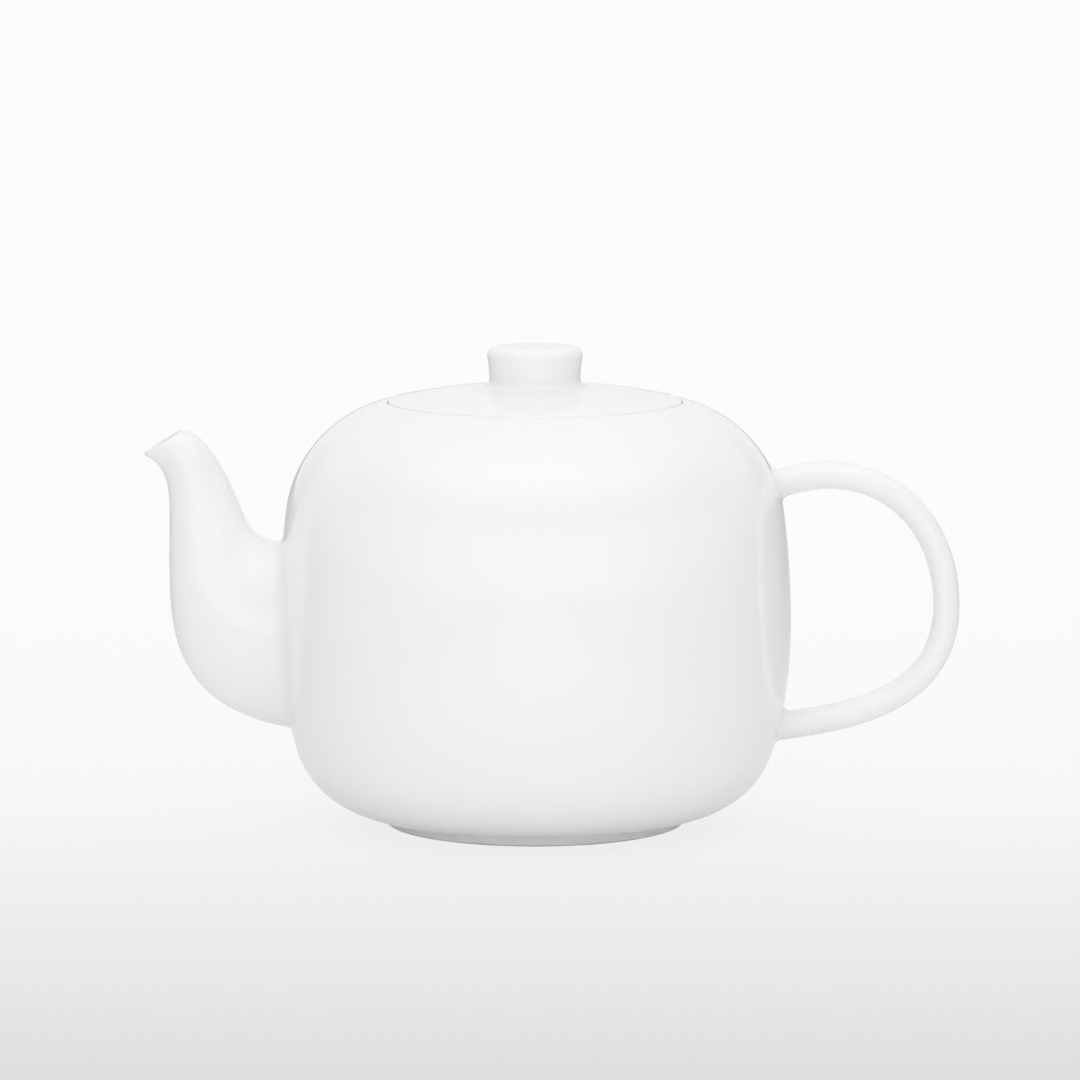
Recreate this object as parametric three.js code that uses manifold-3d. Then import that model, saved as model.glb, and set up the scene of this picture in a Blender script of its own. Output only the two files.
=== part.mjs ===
// A plain white porcelain teapot: a hollow body on a low foot ring, a hollow spout behind a pierced
// strainer wall, a C-shaped rod handle, and a domed lid with a button knob that lifts out of its gallery.
// Lengths are in millimetres and +Z is up. The spout points to -X and the handle to +X. Heights are
// measured from the body's flat base, which stands on the foot ring, and reaches outwards from the belly.

import * as THREE from "three";
import { mergeVertices } from "three/addons/utils/BufferGeometryUtils.js";
import Module from "manifold-3d";

const wasm = await Module();
wasm.setup();

// Body: a nearly straight side and a round corner, above and below the belly
const bodyRadius = 70;
const shoulderSideRadius = 250;
const shoulderSideAngle = 0.131;
const shoulderCornerRadius = 34.9;
const baseSideRadius = 117;
const baseSideAngle = 0.287;
const baseCornerRadius = 24.2;
const bodyWall = 3.6;

// Foot ring
const footHeight = 3;
const footRadius = 41;
const footWidth = 4.2;
const footEdge = 0.7;

// Lid, and the gallery that it sits in
const lidRadius = 40;
const lidDomeRadius = 185;
const lidProud = 0.3;
const lidWall = 3.2;
const lidRimThickness = 2.7;
const lidRimEdge = 0.8;
const lidGap = 0.5;
const mouthEdge = 0.5;
const ledgeWidth = 6.2;
const ledgeThickness = 3.4;
const flangeClearance = 0.7;
const flangeWall = 2.6;
const flangeDepth = 12;
const ventDiameter = 2.4;
const ventFromAxis = 24;

// Knob
const knobRootRadius = 12.35;
const knobRootFillet = 2.6;
const knobRadius = 13;
const knobHeight = 8.5;
const knobTopEdge = 2.5;

// Spout: its root on the body, its neck and its mouth. A pull is how far a curve follows its end's
// direction, as a share of its chord. A taper is how fast a leg narrows at its end, as a share of its mean.
const spoutRootBottom = 22.2;
const spoutRootTop = 74.5;
const spoutRootRise = 0.112;
const spoutRootHalfBreadth = 19;
const spoutReach = 29.8;
const spoutNeckHeight = 69;
const spoutNeckLength = 23.9;
const spoutNeckTilt = 0.572;
const spoutNeckLean = 1.232;
const spoutNeckHalfBreadth = 10.8;
const spoutTipReach = 36.4;
const spoutTipHeight = 97.9;
const spoutTipFlare = 0.438;
const spoutMouthLength = 12.9;
const spoutMouthTilt = 0.53;
const spoutMouthDroop = 0.342;
const spoutMouthHalfBreadth = 5.9;
const spoutLipNarrowing = 0.22;
const spoutWall = 3.2;
const spoutLipWall = 1.6;
const lowerRootPulls = [0.635, 0.31];
const lowerNeckPulls = [0.54, 0.315];
const upperRootPulls = [0.13, 0.6];
const upperNeckPulls = [0.59, 0.11];
const rootLegTapers = [1.1, 0.73];
const neckLegTapers = [1.22, 0.71];

// Strainer holes through the body wall, inside the spout's root
const strainerHoleDiameter = 2.5;
const strainerPitch = 6.4;
const strainerRings = 2;

// Handle
const handleTopHeight = 88.1;
const handleTopRise = 0.433;
const handleBottomHeight = 22.6;
const handleBottomRise = 0.122;
const handleReach = 42.5;
const handleReachHeight = 56.4;
const handleThickness = 7.1;
const handleRootThickness = 7.8;
const handleBreadth = 9.4;
const handleFlare = 1.4;
const handleFlareLength = 4;
const handleTopPulls = [0.522, 0.444];
const handleBottomPulls = [0.467, 0.329];

// How deep a luted piece runs into the body before it is trimmed to the wall, and the joint left there
const rootDepth = 8;
const seam = 0.3;

// How finely curves are stepped
const turnSteps = 52;
const spoutSides = 28;
const spoutRings = 10;
const handleSides = 14;
const handleRings = 15;

const glaze = { color: 0xf2f2f0, roughness: 0.12, metalness: 0 };
const bareClay = { color: 0xe6e4df, roughness: 0.7, metalness: 0 };

function piece(name, geometry, finish) {
  const mesh = new THREE.Mesh(geometry, new THREE.MeshStandardMaterial(finish));
  mesh.name = name;
  return mesh;
}

// A closed geometry as a solid that can be joined and cut.
function toSolid(geometry) {
  const bare = geometry.clone();
  bare.deleteAttribute("normal");
  bare.deleteAttribute("uv");
  const merged = mergeVertices(bare, 1e-4);
  return new wasm.Manifold(
    new wasm.Mesh({
      numProp: 3,
      vertProperties: merged.attributes.position.array,
      triVerts: new Uint32Array(merged.index.array),
    }),
  );
}

function toGeometry(solid) {
  const { vertProperties, triVerts } = solid.getMesh();
  const geometry = new THREE.BufferGeometry();
  geometry.setAttribute("position", new THREE.BufferAttribute(vertProperties, 3));
  geometry.setIndex(new THREE.BufferAttribute(triVerts, 1));
  return geometry;
}

function point(x, z) {
  return new THREE.Vector2(x, z);
}

// A point at a distance and an angle from another.
function step(from, distance, angle) {
  return point(from.x + distance * Math.cos(angle), from.y + distance * Math.sin(angle));
}

// Points on a round stretch of a profile, from one angle to another, in radians.
function arc(centre, radius, from, to, steps) {
  const points = [];
  for (let i = 0; i <= steps; i += 1) {
    points.push(step(centre, radius, from + ((to - from) * i) / steps));
  }
  return points;
}

// A profile of (radius, height) points, turned round the Z axis.
function turned(profile) {
  return new THREE.LatheGeometry(profile, turnSteps).rotateX(Math.PI / 2);
}

// The belly's height follows from the base's round corner, which ends level on the flat base.
const bellyHeight = baseCornerRadius + (baseSideRadius - baseCornerRadius) * Math.sin(baseSideAngle);

// One half of the body's outline: out of the belly along the side, round the corner until it is level,
// then straight to the axis. up is 1 for the shoulder and -1 for the base. inset moves it all inwards.
function halfOutline(sideRadius, sideAngle, cornerRadius, up, inset) {
  const side = point(bodyRadius - sideRadius, 0);
  const corner = step(side, sideRadius - cornerRadius, sideAngle);
  const outline = [
    ...arc(side, sideRadius - inset, 0, sideAngle, 3),
    ...arc(corner, cornerRadius - inset, sideAngle, Math.PI / 2, 8).slice(1),
    point(0, corner.y + cornerRadius - inset),
  ];
  return outline.map((p) => point(p.x, bellyHeight + up * p.y));
}

function shoulderOutline(inset) {
  return halfOutline(shoulderSideRadius, shoulderSideAngle, shoulderCornerRadius, 1, inset);
}

function baseOutline(inset) {
  return halfOutline(baseSideRadius, baseSideAngle, baseCornerRadius, -1, inset);
}

// The first stretch of a line of points, up to where it crosses a limit and ended on the crossing.
function upTo(points, value, limit) {
  const kept = [points[0]];
  for (let i = 1; i < points.length; i += 1) {
    const before = value(points[i - 1]) - limit;
    const after = value(points[i]) - limit;
    if (before * after < 0) {
      kept.push(points[i - 1].clone().lerp(points[i], before / (before - after)));
      return kept;
    }
    kept.push(points[i]);
  }
  return kept;
}

const radiusOf = (p) => p.x;
const heightOf = (p) => p.y;

// The body's outer radius at a height.
function wallRadius(height) {
  const outline = height > bellyHeight ? shoulderOutline(0) : baseOutline(0);
  return upTo(outline, heightOf, height).pop().x;
}

// The mouth, and the body's outside that ends on its rounded edge
const mouthRadius = lidRadius + lidGap;
const throatRadius = mouthRadius - ledgeWidth;
const outerShoulder = upTo(shoulderOutline(0), radiusOf, mouthRadius + mouthEdge);
const mouthHeight = outerShoulder[outerShoulder.length - 1].y;

// The lid's dome, whose rim stands a little proud of the mouth, and the gallery under it
const lidRimHeight = mouthHeight + lidProud;
const domeCentre = point(0, lidRimHeight - Math.sqrt(lidDomeRadius ** 2 - lidRadius ** 2));
const domeHeight = (radius) => domeCentre.y + Math.sqrt(lidDomeRadius ** 2 - radius ** 2);
const lidSeatHeight = lidRimHeight - lidRimThickness;
const knobPadHeight = domeHeight(knobRootRadius + knobRootFillet) + knobRootFillet;
const ledgeHeight = lidSeatHeight - seam;
const ledgeUnderside = ledgeHeight - ledgeThickness;

// The body's skin as a solid, swollen by the seam: what is luted on the body is trimmed by it.
function trimmer() {
  const base = baseOutline(-seam).reverse();
  return toSolid(turned([...base, ...shoulderOutline(-seam).slice(1)]));
}

// Holes in rings of six, twelve and so on round a middle one, drilled along X.
function strainerHoles() {
  const drill = new THREE.CylinderGeometry(
    strainerHoleDiameter / 2,
    strainerHoleDiameter / 2,
    bodyRadius,
    12,
  ).rotateZ(Math.PI / 2);
  const middle = (spoutRootBottom + spoutRootTop) / 2;
  const places = [point(0, 0)];
  for (let ring = 1; ring <= strainerRings; ring += 1) {
    const corners = arc(point(0, 0), ring * strainerPitch, 0, 2 * Math.PI, 6);
    for (let side = 0; side < 6; side += 1) {
      for (let i = 0; i < ring; i += 1) {
        places.push(corners[side].clone().lerp(corners[side + 1], i / ring));
      }
    }
  }
  const holes = places.map((p) => toSolid(drill.clone().translate(-bodyRadius, p.y, middle + p.x)));
  return wasm.Manifold.union(holes);
}

function potBody() {
  const lip = point(mouthRadius + mouthEdge, mouthHeight - mouthEdge);
  const profile = [
    ...baseOutline(0).reverse(),
    ...outerShoulder.slice(1),
    ...arc(lip, mouthEdge, Math.PI / 2, Math.PI, 3).slice(1),
    point(mouthRadius, ledgeHeight),
    point(throatRadius, ledgeHeight),
    point(throatRadius, ledgeUnderside),
    ...upTo(shoulderOutline(bodyWall), heightOf, ledgeUnderside).reverse(),
    ...baseOutline(bodyWall).slice(1),
  ];
  const shell = toSolid(turned(profile)).subtract(strainerHoles());
  return piece("pot_body", toGeometry(shell), glaze);
}

function footRing() {
  const inner = footRadius - footWidth;
  const edgeHeight = footEdge - footHeight;
  const profile = [
    point(inner, 0),
    ...arc(point(inner + footEdge, edgeHeight), footEdge, Math.PI, 1.5 * Math.PI, 2),
    ...arc(point(footRadius - footEdge, edgeHeight), footEdge, -Math.PI / 2, 0, 2),
    point(footRadius, 0),
    point(inner, 0),
  ];
  return piece("foot_ring", turned(profile), bareClay);
}

function lid() {
  const flangeRadius = throatRadius - flangeClearance;
  const boreRadius = flangeRadius - flangeWall;
  const flangeBottom = lidSeatHeight - flangeDepth;
  const inner = lidDomeRadius - lidWall;
  const outerStart = Math.acos((lidRadius - lidRimEdge) / lidDomeRadius);
  const outerEnd = Math.acos((knobRootRadius + knobRootFillet) / lidDomeRadius);
  const rimEdgeHeight = domeHeight(lidRadius - lidRimEdge) - lidRimEdge;
  const filletCentre = point(knobRootRadius + knobRootFillet, knobPadHeight);
  const profile = [
    ...arc(domeCentre, inner, Math.PI / 2, Math.acos(boreRadius / inner), 4),
    point(boreRadius, flangeBottom),
    point(flangeRadius, flangeBottom),
    point(flangeRadius, lidSeatHeight),
    point(lidRadius, lidSeatHeight),
    ...arc(point(lidRadius - lidRimEdge, rimEdgeHeight), lidRimEdge, 0, Math.PI / 2, 3),
    ...arc(domeCentre, lidDomeRadius, outerStart, outerEnd, 4).slice(1),
    ...arc(filletCentre, knobRootFillet, 1.5 * Math.PI, Math.PI, 4).slice(1),
    point(0, knobPadHeight),
  ];
  const vent = new THREE.CylinderGeometry(ventDiameter / 2, ventDiameter / 2, 2 * lidDomeRadius, 12)
    .rotateX(Math.PI / 2)
    .translate(0, ventFromAxis, lidSeatHeight);
  return piece("lid", toGeometry(toSolid(turned(profile)).subtract(toSolid(vent))), glaze);
}

function lidKnob() {
  const top = knobPadHeight + knobHeight;
  const profile = [
    point(0, knobPadHeight),
    point(knobRootRadius, knobPadHeight),
    ...arc(point(knobRadius - knobTopEdge, top - knobTopEdge), knobTopEdge, 0, Math.PI / 2, 5),
    point(0, top),
  ];
  return piece("lid_knob", turned(profile), glaze);
}

// A closed surface over rings of points that each have as many points. The last ring joins the first
// where looped, and each end is closed by a fan where not.
function skin(rings, looped) {
  const sides = rings[0].length;
  const positions = rings.flat().flatMap((p) => [p.x, p.y, p.z]);
  const faces = [];
  const legs = looped ? rings.length : rings.length - 1;
  for (let r = 0; r < legs; r += 1) {
    const here = r * sides;
    const next = ((r + 1) % rings.length) * sides;
    for (let i = 0; i < sides; i += 1) {
      const j = (i + 1) % sides;
      faces.push(here + i, here + j, next + j, here + i, next + j, next + i);
    }
  }
  if (!looped) {
    const last = (rings.length - 1) * sides;
    for (let i = 1; i + 1 < sides; i += 1) {
      faces.push(0, i + 1, i, last, last + i, last + i + 1);
    }
  }
  const geometry = new THREE.BufferGeometry();
  geometry.setAttribute("position", new THREE.Float32BufferAttribute(positions, 3));
  geometry.setIndex(faces);
  return toSolid(geometry);
}

// A cubic curve in the XZ plane that leaves one point at an angle and comes in to another at an angle.
function bend(from, fromAngle, to, toAngle, pulls) {
  const chord = from.distanceTo(to);
  return new THREE.CubicBezierCurve(
    from,
    step(from, pulls[0] * chord, fromAngle),
    step(to, -pulls[1] * chord, toAngle),
    to,
  );
}

// A smooth change from 0 to 1.
const ease = (t) => t * t * (3 - 2 * t);
const mix = (a, b, t) => a + (b - a) * t;

// A smooth change between two sizes, whose pace at each end is a share of its mean pace.
function tapered(sizes, tapers, t) {
  const early = tapers[0] * t * (1 - t) ** 2;
  const late = tapers[1] * t ** 2 * (1 - t);
  return mix(...sizes, ease(t) + early - late);
}

// The spout's two legs, from the body to the neck and from the neck to the mouth. Each has a lower
// edge, an upper edge, half breadths, walls and how much the section narrows towards its lower edge.
function spoutLegs() {
  const left = Math.PI;
  const up = Math.PI / 2;
  const rootBottom = point(rootDepth - bodyRadius, spoutRootBottom);
  const rootTop = point(rootDepth - bodyRadius, spoutRootTop);
  const neckFront = point(-bodyRadius - spoutReach, spoutNeckHeight);
  const neckBack = step(neckFront, spoutNeckLength, spoutNeckTilt);
  const mouthFront = point(-bodyRadius - spoutTipReach, spoutTipHeight);
  const mouthBack = step(mouthFront, spoutMouthLength, spoutMouthTilt);
  const lean = left - spoutNeckLean;
  return [
    {
      lower: bend(rootBottom, left - spoutRootRise, neckFront, up, lowerRootPulls),
      upper: bend(rootTop, left, neckBack, lean, upperRootPulls),
      breadth: [spoutRootHalfBreadth, spoutNeckHalfBreadth],
      tapers: rootLegTapers,
      wall: [spoutWall, spoutWall],
      narrowing: [0, 0],
    },
    {
      lower: bend(neckFront, up, mouthFront, left - spoutTipFlare, lowerNeckPulls),
      upper: bend(neckBack, lean, mouthBack, left + spoutMouthDroop, upperNeckPulls),
      breadth: [spoutNeckHalfBreadth, spoutMouthHalfBreadth],
      tapers: neckLegTapers,
      wall: [spoutWall, spoutLipWall],
      narrowing: [0, spoutLipNarrowing],
    },
  ];
}

// One section of the spout: an oval between the lower and the upper edge, inset from them by a share
// of the wall and lifted along the spout.
function spoutRing(leg, t, inset, lift) {
  const low = leg.lower.getPoint(t);
  const high = leg.upper.getPoint(t);
  const middle = low.clone().lerp(high, 0.5);
  const half = low.distanceTo(high) / 2;
  const along = low.clone().sub(middle).divideScalar(half);
  const wall = inset * mix(...leg.wall, t);
  const breadth = tapered(leg.breadth, leg.tapers, t) - wall;
  const narrowing = mix(...leg.narrowing, t);
  const ring = [];
  for (let i = 0; i < spoutSides; i += 1) {
    const angle = (2 * Math.PI * i) / spoutSides;
    const reach = (half - wall) * Math.cos(angle);
    const y = -breadth * Math.sin(angle) * (1 - narrowing * Math.cos(angle));
    ring.push(
      new THREE.Vector3(
        middle.x + along.x * reach + along.y * lift,
        y,
        middle.y + along.y * reach - along.x * lift,
      ),
    );
  }
  return ring;
}

// The spout's rings run out along its outside, over the rounded lip and back down its bore.
function spout(trim) {
  const legs = spoutLegs();
  const outside = [];
  const bore = [];
  legs.forEach((leg, n) => {
    for (let i = n; i <= spoutRings; i += 1) {
      outside.push(spoutRing(leg, i / spoutRings, 0, 0));
      bore.unshift(spoutRing(leg, i / spoutRings, 1, 0));
    }
  });
  const lip = spoutRing(legs[1], 1, 0.5, spoutLipWall / 2);
  const tube = skin([...outside, lip, ...bore], true);
  return piece("spout", toGeometry(tube.subtract(trim)), glaze);
}

function handle(trim) {
  const top = point(bodyRadius - rootDepth, handleTopHeight);
  const bottom = point(bodyRadius - rootDepth, handleBottomHeight);
  const reach = point(bodyRadius + handleReach, handleReachHeight);
  const down = -Math.PI / 2;
  const route = new THREE.CurvePath();
  route.add(bend(top, handleTopRise, reach, down, handleTopPulls));
  route.add(bend(reach, down, bottom, Math.PI + handleBottomRise, handleBottomPulls));
  const rings = [];
  const count = 2 * handleRings;
  for (let i = 0; i <= count; i += 1) {
    const share = i / count;
    const middle = route.getPoint(share);
    const tangent = route.getTangent(share);
    const fromWall = (middle.x - wallRadius(middle.y)) / handleFlareLength;
    const flare = handleFlare * (1 - ease(THREE.MathUtils.clamp(fromWall, 0, 1)));
    const swell = mix(handleRootThickness, handleThickness, Math.sin(Math.PI * share));
    const ring = [];
    for (let k = 0; k < handleSides; k += 1) {
      const angle = (2 * Math.PI * k) / handleSides;
      const out = (swell / 2 + flare) * Math.cos(angle);
      const y = -(handleBreadth / 2 + flare) * Math.sin(angle);
      ring.push(new THREE.Vector3(middle.x - tangent.y * out, y, middle.y + tangent.x * out));
    }
    rings.push(ring);
  }
  return piece("handle", toGeometry(skin(rings, false).subtract(trim)), glaze);
}

const teapot = new THREE.Group();
const trim = trimmer();
teapot.add(potBody(), footRing(), spout(trim), handle(trim), lid(), lidKnob());

// The pot stands on its foot, midway between the ends of the spout and the handle.
const bounds = new THREE.Box3().setFromObject(teapot);
const shift = -(bounds.min.x + bounds.max.x) / 2;
teapot.children.forEach((mesh) => mesh.position.set(shift, 0, footHeight));

export default teapot;
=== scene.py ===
# %% [markdown]
# # A white porcelain teapot
#
# A plain glazed teapot has a hollow body on a low foot, a spout, a rod handle and a lid with a button
# knob. The sizes and the way the lid lifts are already settled in a CAD model. That model is made of flat
# facets, which a glossy glaze would show at once. So each piece is made again here from the same curves,
# with many more steps, and with the soft joins and rounded rims that glaze gives to clay.
#
# The first step loads the CAD model. It stays fixed, and the pieces made below stand in front of it.

# %% Load the fixed CAD model
import math

import bmesh
import bpy
import numpy as np
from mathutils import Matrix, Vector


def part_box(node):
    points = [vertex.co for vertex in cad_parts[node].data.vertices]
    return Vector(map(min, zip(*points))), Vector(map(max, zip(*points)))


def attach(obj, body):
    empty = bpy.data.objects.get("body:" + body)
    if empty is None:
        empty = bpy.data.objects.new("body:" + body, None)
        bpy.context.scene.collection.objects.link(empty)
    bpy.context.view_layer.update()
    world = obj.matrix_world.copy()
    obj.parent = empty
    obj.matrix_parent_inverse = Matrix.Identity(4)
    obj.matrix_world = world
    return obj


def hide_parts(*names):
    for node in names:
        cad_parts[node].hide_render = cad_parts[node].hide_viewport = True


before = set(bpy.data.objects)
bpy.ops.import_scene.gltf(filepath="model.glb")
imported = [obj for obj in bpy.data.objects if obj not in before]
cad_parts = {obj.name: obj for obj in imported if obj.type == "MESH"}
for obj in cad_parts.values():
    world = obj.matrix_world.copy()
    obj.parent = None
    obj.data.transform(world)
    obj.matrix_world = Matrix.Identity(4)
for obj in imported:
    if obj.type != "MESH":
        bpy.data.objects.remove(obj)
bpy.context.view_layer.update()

# %% [markdown]
# # Where everything is measured from
#
# A potter measures from the middle of the wheel. Each profile here is drawn in millimetres from the
# body's own axis, and each height from the body's flat base. The axis and the sizes that show at a
# piece's edge are read from the CAD model, so a piece always lands where the CAD has it.

# %% Read the axis and the main sizes
MM = 0.001
body_low, body_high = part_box("pot_body")
knob_low, knob_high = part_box("lid_knob")

AXIS_X = (body_low.x + body_high.x) / 2
BASE_Z = body_low.z
BODY_RADIUS = body_high.y / MM
FOOT_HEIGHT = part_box("foot_ring")[1].z / MM
FOOT_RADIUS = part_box("foot_ring")[1].y / MM
LID_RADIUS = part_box("lid")[1].y / MM
KNOB_RADIUS = knob_high.y / MM
KNOB_PAD = (knob_low.z - BASE_Z) / MM
KNOB_TOP = (knob_high.z - BASE_Z) / MM
print("body axis at x =", round(AXIS_X / MM, 2), "mm, body radius", round(BODY_RADIUS, 2), "mm")

# %% [markdown]
# # The photographer's camera
#
# The picture was taken from a little above, with a long lens, so the pot hardly tapers with distance.
# The camera comes first, because every later choice is judged through it. It could be placed by eye.
# Here its distance and tilt come from fitting the ellipses of the lid and the foot, which fixes both.

# %% Place the camera
CAMERA_TILT = math.radians(7.4992)
CAMERA_DISTANCE = 1.6642
TARGET = (AXIS_X + 0.001377, 0.0, 0.077558)

camera_data = bpy.data.cameras.new("product_camera")
camera_data.lens = 203.26
camera_data.sensor_width = 36.0
camera_data.clip_end = 200.0
camera = bpy.data.objects.new("product_camera", camera_data)
camera.location = (
    TARGET[0],
    TARGET[1] - CAMERA_DISTANCE * math.cos(CAMERA_TILT),
    TARGET[2] + CAMERA_DISTANCE * math.sin(CAMERA_TILT),
)
camera.rotation_euler = (math.pi / 2 - CAMERA_TILT, 0.0, 0.0)
bpy.context.scene.collection.objects.link(camera)
bpy.context.scene.camera = camera
bpy.context.scene.view_settings.view_transform = "Standard"
print("camera height", round(camera.location.z, 3), "m, distance", CAMERA_DISTANCE, "m")

# %% [markdown]
# # Lines and round corners
#
# A turned pot is a flat profile spun round an axis, so the tools here are those of a compass and ruler:
# a point at a distance and an angle, and an arc of points. A spline would do as well, but arcs are what
# a potter's rib and a CAD model both follow, and the two models then agree to a hair.

# %% Points and arcs
def step(start, distance, angle):
    """The point that lies a distance from another, at an angle in the plane of the drawing."""
    return np.asarray(start) + distance * np.array([math.cos(angle), math.sin(angle)])


def arc(centre, radius, begin, end, steps):
    """Points on a round stretch of a profile."""
    angles = np.linspace(begin, end, steps + 1)
    return np.asarray(centre) + radius * np.stack([np.cos(angles), np.sin(angles)], axis=1)


def rounded(corners, steps=6):
    """A line through corners (x, y, radius), where each corner that has a radius is an arc."""
    line = []
    for i, (x, y, radius) in enumerate(corners):
        here = np.array([x, y], float)
        if radius == 0:
            line.append(here)
            continue
        back = np.array(corners[i - 1][:2]) - here
        ahead = np.array(corners[i + 1][:2]) - here
        back /= np.linalg.norm(back)
        ahead /= np.linalg.norm(ahead)
        half = math.acos(np.clip(back @ ahead, -1, 1)) / 2
        middle = (back + ahead) / np.linalg.norm(back + ahead)
        centre = here + middle * radius / math.sin(half)
        first = here + back * radius / math.tan(half) - centre
        final = here + ahead * radius / math.tan(half) - centre
        begin = math.atan2(first[1], first[0])
        sweep = math.atan2(final[1], final[0]) - begin
        sweep = (sweep + math.pi) % (2 * math.pi) - math.pi
        line.extend(arc(centre, radius, begin, begin + sweep, steps))
    return line


print("a rounded corner takes", len(rounded([(0, 0, 0), (5, 0, 1), (5, 5, 0)])) - 2, "points")

# %% [markdown]
# # Skins over rings
#
# Every piece of the pot is a closed skin laid over a row of rings: level circles for what is turned on
# a wheel, and slanting ovals for the spout and the handle. One helper joins neighbouring rings with
# faces, and a single point may take a ring's place where a skin closes on itself. Building the mesh
# this way gives even, four-sided faces, which is what a smooth highlight needs.

# %% Join rings into a closed skin
TURN_STEPS = 192


def skin(rings, looped=False):
    """Points and faces of a surface over rings of points. A ring of one point closes an end."""
    points = []
    index = []
    for ring in rings:
        index.append(range(len(points), len(points) + len(ring)))
        points.extend(ring)
    faces = []
    pairs = list(zip(index, index[1:]))
    if looped:
        pairs.append((index[-1], index[0]))
    for here, there in pairs:
        count = max(len(here), len(there))
        for i in range(count):
            j = (i + 1) % count
            if len(here) == 1:
                faces.append((here[0], there[j], there[i]))
            elif len(there) == 1:
                faces.append((here[i], here[j], there[0]))
            else:
                faces.append((here[i], here[j], there[j], there[i]))
    return points, faces


def turned(profile, looped=False):
    """A profile of (radius, height) points spun round the body's axis."""
    angles = np.linspace(0, 2 * math.pi, TURN_STEPS, endpoint=False)
    rings = []
    for radius, height in profile:
        if radius < 1e-6:
            rings.append([(0.0, 0.0, height)])
        else:
            rings.append([(radius * math.cos(a), radius * math.sin(a), height) for a in angles])
    return skin(rings, looped)


stray = BODY_RADIUS * (1 - math.cos(math.pi / TURN_STEPS))
print("a ring of", TURN_STEPS, "steps strays", round(stray, 3), "mm from a true circle")

# %% [markdown]
# # From a skin to a piece of the pot
#
# A piece becomes a mesh in metres, placed over its own part of the CAD model, and rides with the pot
# or with the lid. Smooth shading hides the small facets, and only an edge sharper than 38 degrees
# stays crisp. Holes are cut with a boolean, as a potter pushes a hole cutter through the damp wall.

# %% Make meshes, holes and pieces
SHARP = math.radians(38)


def mesh_of(name, points, faces):
    """A mesh in metres from points in millimetres about the body's axis, with its faces turned out."""
    place = np.array([AXIS_X, 0.0, BASE_Z])
    mesh = bpy.data.meshes.new(name)
    mesh.from_pydata([tuple(place + MM * np.asarray(p)) for p in points], [], faces)
    shell = bmesh.new()
    shell.from_mesh(mesh)
    bmesh.ops.recalc_face_normals(shell, faces=shell.faces)
    shell.to_mesh(mesh)
    shell.free()
    return mesh


def pierced(name, mesh, drills):
    """The mesh with the drills cut out of it."""
    blank = bpy.data.objects.new(name, mesh)
    tool = bpy.data.objects.new(name + "_drill", drills)
    for thing in (blank, tool):
        bpy.context.scene.collection.objects.link(thing)
    cut = blank.modifiers.new("pierce", "BOOLEAN")
    cut.operation = "DIFFERENCE"
    cut.solver = "EXACT"
    cut.object = tool
    graph = bpy.context.evaluated_depsgraph_get()
    result = bpy.data.meshes.new_from_object(blank.evaluated_get(graph))
    for thing in (blank, tool):
        bpy.data.objects.remove(thing)
    return result


def make_piece(name, mesh, body, node, finish):
    """Puts a finished piece in the scene. It rides with a body and stands for a CAD node."""
    mesh.shade_smooth()
    mesh.set_sharp_from_angle(angle=SHARP)
    mesh.materials.clear()
    mesh.materials.append(finish)
    made = bpy.data.objects.new(name, mesh)
    bpy.context.scene.collection.objects.link(made)
    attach(made, body)
    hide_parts(node)
    print(name, "has", len(mesh.polygons), "faces")


# %% [markdown]
# # The glaze
#
# Porcelain is white all through, under a thin clear layer of glass. Its white is never quite even: the
# clay fires a touch warm, and the glaze runs and settles, so tone and gloss wander a little over a few
# centimetres. The surface also keeps a faint ripple, which bends reflections without dulling them. All
# of this comes from noise that is tied to the piece, so it travels with the lid. A separate clear coat
# could be laid on top, but one glossy shader with a little light let into the clay gives the same look.

# %% Shader helpers
def add_node(tree, kind, **inputs):
    """A shader node with some of its sockets filled in by name."""
    node = tree.nodes.new(kind)
    for key, value in inputs.items():
        node.inputs[key.replace("_", " ")].default_value = value
    return node


def add_noise(tree, place, scale, detail=2.0):
    """Soft noise tied to a piece, in waves about 1/scale metres long."""
    noise = add_node(tree, "ShaderNodeTexNoise", Scale=scale, Detail=detail)
    tree.links.new(place, noise.inputs["Vector"])
    return noise.outputs["Fac"]


def add_spread(tree, value, before, after, curve="LINEAR"):
    """A value whose range before is stretched to another range after."""
    spread = tree.nodes.new("ShaderNodeMapRange")
    spread.interpolation_type = curve
    for name, number in zip(("From Min", "From Max", "To Min", "To Max"), (*before, *after)):
        spread.inputs[name].default_value = number
    tree.links.new(value, spread.inputs["Value"])
    return spread.outputs["Result"]


def add_tint(tree, share, from_colour, to_colour):
    """A colour that goes from one to another with a share. A colour may also be an output."""
    tint = tree.nodes.new("ShaderNodeMix")
    tint.data_type = "RGBA"
    tree.links.new(share, tint.inputs[0])
    for socket, colour in ((tint.inputs[6], from_colour), (tint.inputs[7], to_colour)):
        if isinstance(colour, tuple):
            socket.default_value = colour
        else:
            tree.links.new(colour, socket)
    return tint.outputs[2]


def add_math(tree, operation, first, second):
    """One sum of two values, each an output or a number."""
    sum_node = tree.nodes.new("ShaderNodeMath")
    sum_node.operation = operation
    for socket, value in zip(sum_node.inputs, (first, second)):
        if isinstance(value, (int, float)):
            socket.default_value = value
        else:
            tree.links.new(value, socket)
    return sum_node.outputs["Value"]


def new_finish(name):
    """An empty finish: the material, its node tree, its shader, and the place on the piece."""
    finish = bpy.data.materials.new(name)
    finish.use_nodes = True
    tree = finish.node_tree
    place = tree.nodes.new("ShaderNodeTexCoord").outputs["Object"]
    return finish, tree, tree.nodes["Principled BSDF"], place


# %% [markdown]
# # Mixing the glaze
#
# The white wanders slowly and the gloss a little faster. The ripple has a slow part, from glaze that ran
# in the kiln, and a fine part that potters call orange peel. Some light also goes in under the glaze and
# comes out again close by, and that is what makes porcelain look softer than paint.

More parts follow.
